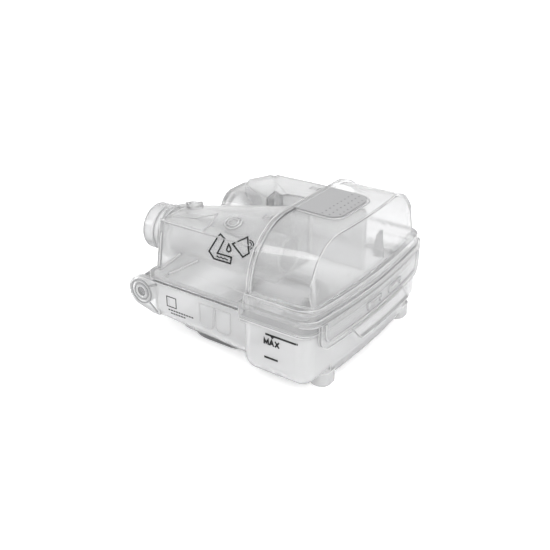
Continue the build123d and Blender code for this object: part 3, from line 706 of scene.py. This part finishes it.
square = [(square_left, square_low), (square_right, square_low),
          (square_right, square_high), (square_left, square_high)]
rule_x = square_left + rule_inset
square_rule = [(rule_x, square_low + rule_margin), (rule_x, square_high - rule_margin)]
prints("rear_square", "base_tub", near_side, [square], width=0.62, closed=True)
prints("rear_square_rule", "base_tub", near_side, [square_rule], width=0.22, material=grey_ink_and_painted_dot_shade)
prints("rear_rules", "base_tub", near_side, dashes(*upper_rule) + dashes(*lower_rule), width=0.85)

# %% [markdown]
# ## Filling picture
#
# On the near channel a line drawing tells how the tub is filled: an open tub with water in it, a
# drop, and a jug. The channel's wall is curved there, so the picture is drawn square to the line
# of sight and dropped on to the wall. It is a plain drawing with thin black outlines.

# %% Filling picture
picture_pixel = (229.5, 247)
picture_point = seen_at(channel_skin, picture_pixel)[0]
picture = wall_anchor(picture_point, towards, across)
open_tub = [(-9.0, -6.2), (0.4, -9.0), (1.0, -5.6), (-7.0, -3.2), (-2.6, 4.4), (-5.4, 7.4), (-11.8, -2.0)]
ripple_start, ripple_step, ripple_points = (-7.6, -4.9), (0.55, -0.16), 13
ripple_height, ripple_turn = 0.35, 1.6
ripple = [(ripple_start[0] + ripple_step[0] * k,
           ripple_start[1] + ripple_step[1] * k + ripple_height * sin(ripple_turn * k))
          for k in range(ripple_points)]
drop_tip, drop_middle = (-0.4, 1.6), (-0.4, -1.4)
drop = [drop_tip] + arc(drop_middle, radius=1.2, start=30, end=-210, count=8)
jug = [(1.8, 1.6), (9.8, 5.4), (10.8, -3.6), (7.4, -5.6)]
handle_middle = (10.6, 1.0)
handle = arc(handle_middle, radius=2.6, start=84, end=-76, count=9)
handle_inside = arc(handle_middle, radius=1.5, start=78, end=-70, count=7)
prints("filling_picture", "lid_rear", picture, [open_tub, drop, jug], width=0.9, closed=True, body="lid")
prints("filling_picture_fine", "lid_rear", picture, [ripple, handle, handle_inside], width=0.6, body="lid")

# %% [markdown]
# ## Ridges on the lid
#
# Small ridges stiffen the channel's walls, ring its two bosses and frame the ledge where the real
# tub has moulded words. They are clear, like the wall that they stand on, and show as thin lines
# where they bend the light. Relief in a material would not bend the outline behind them, so they
# are meshes.

# %% Ridges on the lid
ledge_z = 75.0
ledge_top = wall_anchor((0, 0, ledge_z * MM), top_way, front_way)
ledge_outline = [(-44.0, -54.0), (-13.8, -54.2), (-16.8, -37.0), (-37.2, -44.8), (-44.0, -48.5)]
boss_pixel = (233.5, 222.5)
boss_point, boss_normal = seen_at(channel_skin, boss_pixel)
boss = wall_anchor(boss_point, boss_normal, front_way)
oval = loop((0, 0), radius=5.6, count=12, squash=0.82)
oval_inside = loop((0, 0), radius=3.6, count=8, squash=0.8)
side_ribs = [[(-42.0, 45.8), (-27.0, 59.4)], [(-35.5, 44.6), (-14.0, 58.6)], [(-42.5, 47.0), (-42.5, 68.0)]]
round_boss = loop((-41.0, -27.0), radius=4.2, count=12)
gusset = [[(-49.0, -33.0), (-45.0, -29.5)], [(-49.0, -26.0), (-45.2, -26.5)]]
ridges("oval_boss", "lid_rear", boss, [oval, oval_inside], width=1.3, height=0.8, closed=True)
ridges("ledge_border", "lid_rear", ledge_top, [ledge_outline], width=1.1, height=0.6, closed=True)
ridges("channel_ribs", "lid_rear", near_side, side_ribs, width=1.3, height=0.6)
ridges("rear_boss", "lid_rear", ledge_top, [round_boss], width=1.5, height=2.4, closed=True)
ridges("rear_gusset", "lid_rear", ledge_top, gusset, width=1.3, height=2.0)

# %% [markdown]
# ## Raised bars
#
# Two small patches of moulded marks stand beside the dome's seam. They are left without words:
# three short bars each, which catch the light as small raised marks do.

# %% Raised bars
bar_half = 2.8
bar_rises = (-1.5, 0.0, 1.5)
bars = [[(-bar_half, rise), (bar_half, rise)] for rise in bar_rises]
bar_pixels = {"raised_bars_near": (268, 217), "raised_bars_far": (315, 188.5)}
for bar_name, bar_pixel in bar_pixels.items():
    bar_point, bar_normal = seen_at(channel_skin, bar_pixel)
    bar_wall = wall_anchor(bar_point, bar_normal, front_way)
    ridges(bar_name, "lid_rear", bar_wall, bars, width=0.7, height=0.5)

# %% [markdown]
# ## Rim round the grip
#
# The dome has a low rim that holds the rubber pad on three sides. It is one open path with two
# round corners, dropped on to the dome beside the pad.

# %% Rim round the grip
grip_back, grip_front, grip_half, grip_round = 26.0, 53.6, 20.2, 8.8
quarter_points = 8
grip_rim = ([(grip_back, -grip_half)]
            + arc((grip_front - grip_round, grip_round - grip_half), grip_round, -90, 0, quarter_points)
            + arc((grip_front - grip_round, grip_half - grip_round), grip_round, 0, 90, quarter_points)
            + [(grip_back, grip_half)])
ridges("grip_rim", "lid_dome", ledge_top, [grip_rim], width=1.4, height=0.5)

# %% [markdown]
# ## Ridges on the front panel
#
# The panel has a raised border with round lower corners, and two small frames over the catches
# behind it. Both are strokes on the panel's bowed face, which bend with it by themselves.

# %% Ridges on the front panel
panel_x = 71.3
panel_front = wall_anchor((panel_x * MM, 0, 0), front_way, far_way)
border_half, border_low, border_high, border_round = 54.6, 30.6, 42.4, 5.0
border = open_frame(-border_half, border_half, border_low, border_high, border_round)
clip_places = (-7.0, 18.5)
clip_half, clip_low, clip_high = 7.0, 33.4, 37.2
clips = [[(y - clip_half, clip_low), (y - clip_half, clip_high),
          (y + clip_half, clip_high), (y + clip_half, clip_low)] for y in clip_places]
ridges("panel_border", "front_panel", panel_front, [border], width=1.7, height=1.0)
ridges("panel_clips", "front_panel", panel_front, clips, width=1.4, height=1.1)

# %% [markdown]
# ## Ridges on the base
#
# Two rings stand round the hinge pin on the base's ear, with two short webs beside them, and two
# shallow pads mark the rear part's near wall. The rings and webs are grey with painted shade.

# %% Ridges on the base
hinge_middle = (-58.7, 26.3)
ring_radii = (5.2, 7.6)
rings = [loop(hinge_middle, radius, count=24) for radius in ring_radii]
webs = [[(-52.2, 31.5), (-46.0, 34.6)], [(-52.4, 20.5), (-46.4, 15.6)]]
pad_low, pad_high, pad_round = 17.2, 32.0, 3.6
pad_spans = ((-13.5, -3.6), (-2.2, 8.6))
pads = [open_frame(left, right, pad_low, pad_high, pad_round) for left, right in pad_spans]
ridges("hinge_rings", "base_tub", near_side, rings, width=1.1, height=0.5, closed=True, body="base",
       material=rib_painted_shade)
ridges("hinge_webs", "base_tub", near_side, webs, width=1.4, height=0.5, body="base", material=rib_painted_shade)
ridges("insert_pads", "base_tub", near_side, pads, width=0.9, height=0.32, closed=True, body="base")

# %% [markdown]
# ## Bright edges
#
# A moulded edge is never perfectly sharp: it has a small round that catches the light from
# somewhere at every angle, and so each outer edge of a clear part shows as a fine bright line.
# The solids have no such round, and bevelling them would change their meshes. So Geometry Nodes
# sweep a very thin bead along a set of edges: the edges become curves, a small circle is swept
# along them, and the result is made real and gets its finish. That finish is whiter and less clear
# than the walls, so each bright line is partly a painted highlight.

# %% Bead tree
bead_radius = 0.2 * MM
bead_tree = bpy.data.node_groups.new("edge_bead", "GeometryNodeTree")
add_sockets(bead_tree, "INPUT", "Geometry", {"Edges": None})
add_sockets(bead_tree, "INPUT", "Float", {"Radius": bead_radius})
add_sockets(bead_tree, "INPUT", "Material", {"Material": None})
add_sockets(bead_tree, "OUTPUT", "Geometry", {"Geometry": None})
link = bead_tree.links.new
given = bead_tree.nodes.new("NodeGroupInput")
result = bead_tree.nodes.new("NodeGroupOutput")
to_curve = bead_tree.nodes.new("GeometryNodeMeshToCurve")
circle = bead_tree.nodes.new("GeometryNodeCurvePrimitiveCircle")
circle.inputs["Resolution"].default_value = 6
sweep = bead_tree.nodes.new("GeometryNodeCurveToMesh")
sweep.inputs["Fill Caps"].default_value = True
real = bead_tree.nodes.new("GeometryNodeRealizeInstances")
coat = bead_tree.nodes.new("GeometryNodeSetMaterial")
link(given.outputs["Edges"], to_curve.inputs["Mesh"])
link(given.outputs["Radius"], circle.inputs["Radius"])
link(to_curve.outputs["Curve"], sweep.inputs["Curve"])
link(circle.outputs["Curve"], sweep.inputs["Profile Curve"])
link(sweep.outputs["Mesh"], real.inputs["Geometry"])
link(real.outputs["Geometry"], coat.inputs["Geometry"])
link(given.outputs["Material"], coat.inputs["Material"])
link(coat.outputs["Geometry"], result.inputs["Geometry"])
print("tree:", bead_tree.name, [socket.name for socket in bead_tree.interface.items_tree])

# %% [markdown]
# ## Growing a piece with Geometry Nodes
#
# Beads and grip dots are grown in the same way. An object holds the start mesh, a modifier with
# the tree grows the piece, and the grown mesh becomes a plain one. The modifier's inputs are set
# by each socket's identifier, because a name can change and isn't unique.

# %% Growing a piece
def grow(name, start_mesh, node_tree, values, material, body):
    """A plain piece from a tree of Geometry Nodes and the values of its named inputs."""
    inputs = [item for item in node_tree.interface.items_tree if item.in_out == "INPUT"]
    sockets = {item.name: item.identifier for item in inputs}
    holder = bpy.data.objects.new(start_mesh.name, start_mesh)
    scene.collection.objects.link(holder)
    growth = holder.modifiers.new("growth", "NODES")
    growth.node_group = node_tree
    for socket, value in values.items():
        growth[sockets[socket]] = value
    growth[sockets["Material"]] = material
    grown = bpy.data.meshes.new_from_object(holder.evaluated_get(bpy.context.evaluated_depsgraph_get()))
    holder.modifiers.remove(growth)
    bpy.data.objects.remove(holder)
    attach(new_object(name, grown, material), body)
    print(name, "faces", len(grown.polygons))


print("trees ready:", bead_tree.name)

# %% [markdown]
# ## Beads on the clear parts
#
# The edges come from a merged copy of a solid's mesh: those that point outwards, turn by more
# than an angle, and leave room for the bead inside the solids' box. Long edges are cut up first,
# so that the stretch under the filling picture can be left out.

# %% Beads on the clear parts
cad_low, cad_high = [Vector(corner) for corner in cad_box]
long_edge = 4 * MM
picture_stretch = ((-14, 22), (-56.5, -53.5), (73.5, 76.5))
# each solid's body, and the least turn in degrees of an edge that gets a bead
beaded = {"lid_dome": ("lid", 38), "lid_rear": ("lid", 62), "front_panel": ("lid", 38),
          "base_tub": ("base", 38), "inlet_tube": ("lid", 60), "outlet_tube": ("lid", 60),
          "splash_baffle": ("lid", 60)}


def inside_box(point):
    """True where a bead on this point stays inside the solids' box."""
    sides = zip(cad_low, point, cad_high)
    return all(low + bead_radius <= v <= high - bead_radius for low, v, high in sides)


def under_picture(point):
    """True on the stretch of the ledge's edge that the filling picture is printed over."""
    return all(low < v / MM < high for v, (low, high) in zip(point, picture_stretch))


def edge_beads(node, body, angle):
    """Thin beads along a solid's outward edges that turn by more than an angle, in degrees."""
    build = bmesh.new()
    build.from_mesh(nodes[node].data)
    bmesh.ops.remove_doubles(build, verts=build.verts, dist=0.001 * MM)
    outward = [e for e in build.edges if len(e.link_faces) == 2 and e.is_convex]
    sharp = {e for e in outward if e.calc_face_angle() > radians(angle)
             and all(inside_box(v.co) for v in e.verts)}
    bmesh.ops.delete(build, geom=[e for e in build.edges if e not in sharp], context="EDGES")
    long_edges = [e for e in build.edges if e.calc_length() > long_edge]
    bmesh.ops.subdivide_edges(build, edges=long_edges, cuts=20)
    covered = [e for e in build.edges if under_picture((e.verts[0].co + e.verts[1].co) / 2)]
    bmesh.ops.delete(build, geom=covered, context="EDGES")
    edges = bpy.data.meshes.new(node + "_edges")
    build.to_mesh(edges)
    build.free()
    grow(node + "_edge_beads", edges, bead_tree, {"Radius": bead_radius}, edge_painted_highlight, body)


for bead_node, (bead_body, bead_angle) in beaded.items():
    edge_beads(bead_node, bead_body, bead_angle)

# %% [markdown]
# ## Drip rib
#
# Behind the dome's front wall stands a small leaf-shaped rib, which lets drops run back into the
# water. It is a flat outline given a thickness, and its straight edge meets the wall. A flat box
# would do for its size, but the leaf's curve is what is seen through the dome.

# %% Drip rib
rib_y, rib_thickness = 14.0, 0.9
rib_outline = [(56.2, 52.2), (60.4, 52.4), (63.8, 53.0), (63.2, 57.8), (62.3, 65.4), (61.8, 70.1),
               (60.2, 69.6), (58.4, 65.8), (57.2, 60.8)]
build = bmesh.new()
near_face, far_face = [
    [build.verts.new(Vector((x, rib_y + side * rib_thickness / 2, z)) * MM) for x, z in rib_outline]
    for side in (-1, 1)]
build.faces.new(near_face)
build.faces.new(reversed(far_face))
for k in range(len(rib_outline)):
    build.faces.new((near_face[k - 1], far_face[k - 1], far_face[k], near_face[k]))
bmesh.ops.recalc_face_normals(build, faces=build.faces)
rib_mesh = bpy.data.meshes.new("drip_rib")
build.to_mesh(rib_mesh)
build.free()
# the rib's grey finish is painted shade
drip_rib = new_object("drip_rib", rib_mesh, rib_painted_shade)
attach(drip_rib, "lid")
print("drip_rib faces", len(rib_mesh.polygons))

# %% [markdown]
# ## Dots on the thumb grip
#
# Three rows of small moulded dots help a wet thumb to hold. They repeat, so Geometry Nodes make
# them: each row is a line of points, a low dome is placed on every point, and the result is made
# real and becomes one mesh.

# %% Dot tree
dot_radius, dot_height, dot_pitch = 0.5 * MM, 0.2 * MM, 4.1 * MM
dot_tree = bpy.data.node_groups.new("grip_dots", "GeometryNodeTree")
add_sockets(dot_tree, "INPUT", "Float", {"Radius": dot_radius, "Height": dot_height, "Pitch": dot_pitch})
add_sockets(dot_tree, "INPUT", "Vector", {"Start": None})
add_sockets(dot_tree, "INPUT", "Int", {"Count": 9})
add_sockets(dot_tree, "INPUT", "Material", {"Material": None})
add_sockets(dot_tree, "OUTPUT", "Geometry", {"Geometry": None})
link = dot_tree.links.new
given = dot_tree.nodes.new("NodeGroupInput")
result = dot_tree.nodes.new("NodeGroupOutput")
row = dot_tree.nodes.new("GeometryNodeMeshLine")
pitch_vector = dot_tree.nodes.new("ShaderNodeCombineXYZ")
dome = dot_tree.nodes.new("GeometryNodeMeshUVSphere")
dome.inputs["Segments"].default_value = 10
dome.inputs["Rings"].default_value = 6
ratio = dot_tree.nodes.new("ShaderNodeMath")
ratio.operation = "DIVIDE"
flat_scale = dot_tree.nodes.new("ShaderNodeCombineXYZ")
flat_scale.inputs["X"].default_value = 1.0
flat_scale.inputs["Y"].default_value = 1.0
flatten = dot_tree.nodes.new("GeometryNodeTransform")
place = dot_tree.nodes.new("GeometryNodeInstanceOnPoints")
real = dot_tree.nodes.new("GeometryNodeRealizeInstances")
coat = dot_tree.nodes.new("GeometryNodeSetMaterial")
link(given.outputs["Pitch"], pitch_vector.inputs["Y"])
link(pitch_vector.outputs["Vector"], row.inputs["Offset"])
link(given.outputs["Start"], row.inputs["Start Location"])
link(given.outputs["Count"], row.inputs["Count"])
link(given.outputs["Radius"], dome.inputs["Radius"])
link(given.outputs["Height"], ratio.inputs[0])
link(given.outputs["Radius"], ratio.inputs[1])
link(ratio.outputs[0], flat_scale.inputs["Z"])
link(dome.outputs["Mesh"], flatten.inputs["Geometry"])
link(flat_scale.outputs["Vector"], flatten.inputs["Scale"])
link(row.outputs["Mesh"], place.inputs["Points"])
link(flatten.outputs["Geometry"], place.inputs["Instance"])
link(place.outputs["Instances"], real.inputs["Geometry"])
link(real.outputs["Geometry"], coat.inputs["Geometry"])
link(given.outputs["Material"], coat.inputs["Material"])
link(coat.outputs["Geometry"], result.inputs["Geometry"])
print("tree:", dot_tree.name, [socket.name for socket in dot_tree.interface.items_tree])

# %% [markdown]
# ## Three rows of dots
#
# The grip is curved, so each row finds its own height: a line is cast down on to the rubber where
# the row starts.

# %% Three rows of dots
grip_skin = skin_of("thumb_grip")
well_above = 200
# each row's place along the tub, its first dot across it, and its number of dots
dot_rows = {"grip_dots_rear": (41.2, -17.0, 9), "grip_dots_middle": (45.8, -17.0, 9),
            "grip_dots_front": (50.2, -13.0, 7)}
# the dots' dark grey is painted shade on the rubber
for row_name, (row_x, first_y, dot_count) in dot_rows.items():
    top = grip_skin.ray_cast(Vector((row_x, first_y, well_above)) * MM, Vector((0, 0, -1)))[0]
    row_values = {"Radius": dot_radius, "Height": dot_height, "Pitch": dot_pitch,
                  "Start": (row_x * MM, first_y * MM, top.z), "Count": dot_count}
    grow(row_name, bpy.data.meshes.new(row_name), dot_tree, row_values, grey_ink_and_painted_dot_shade, "lid")
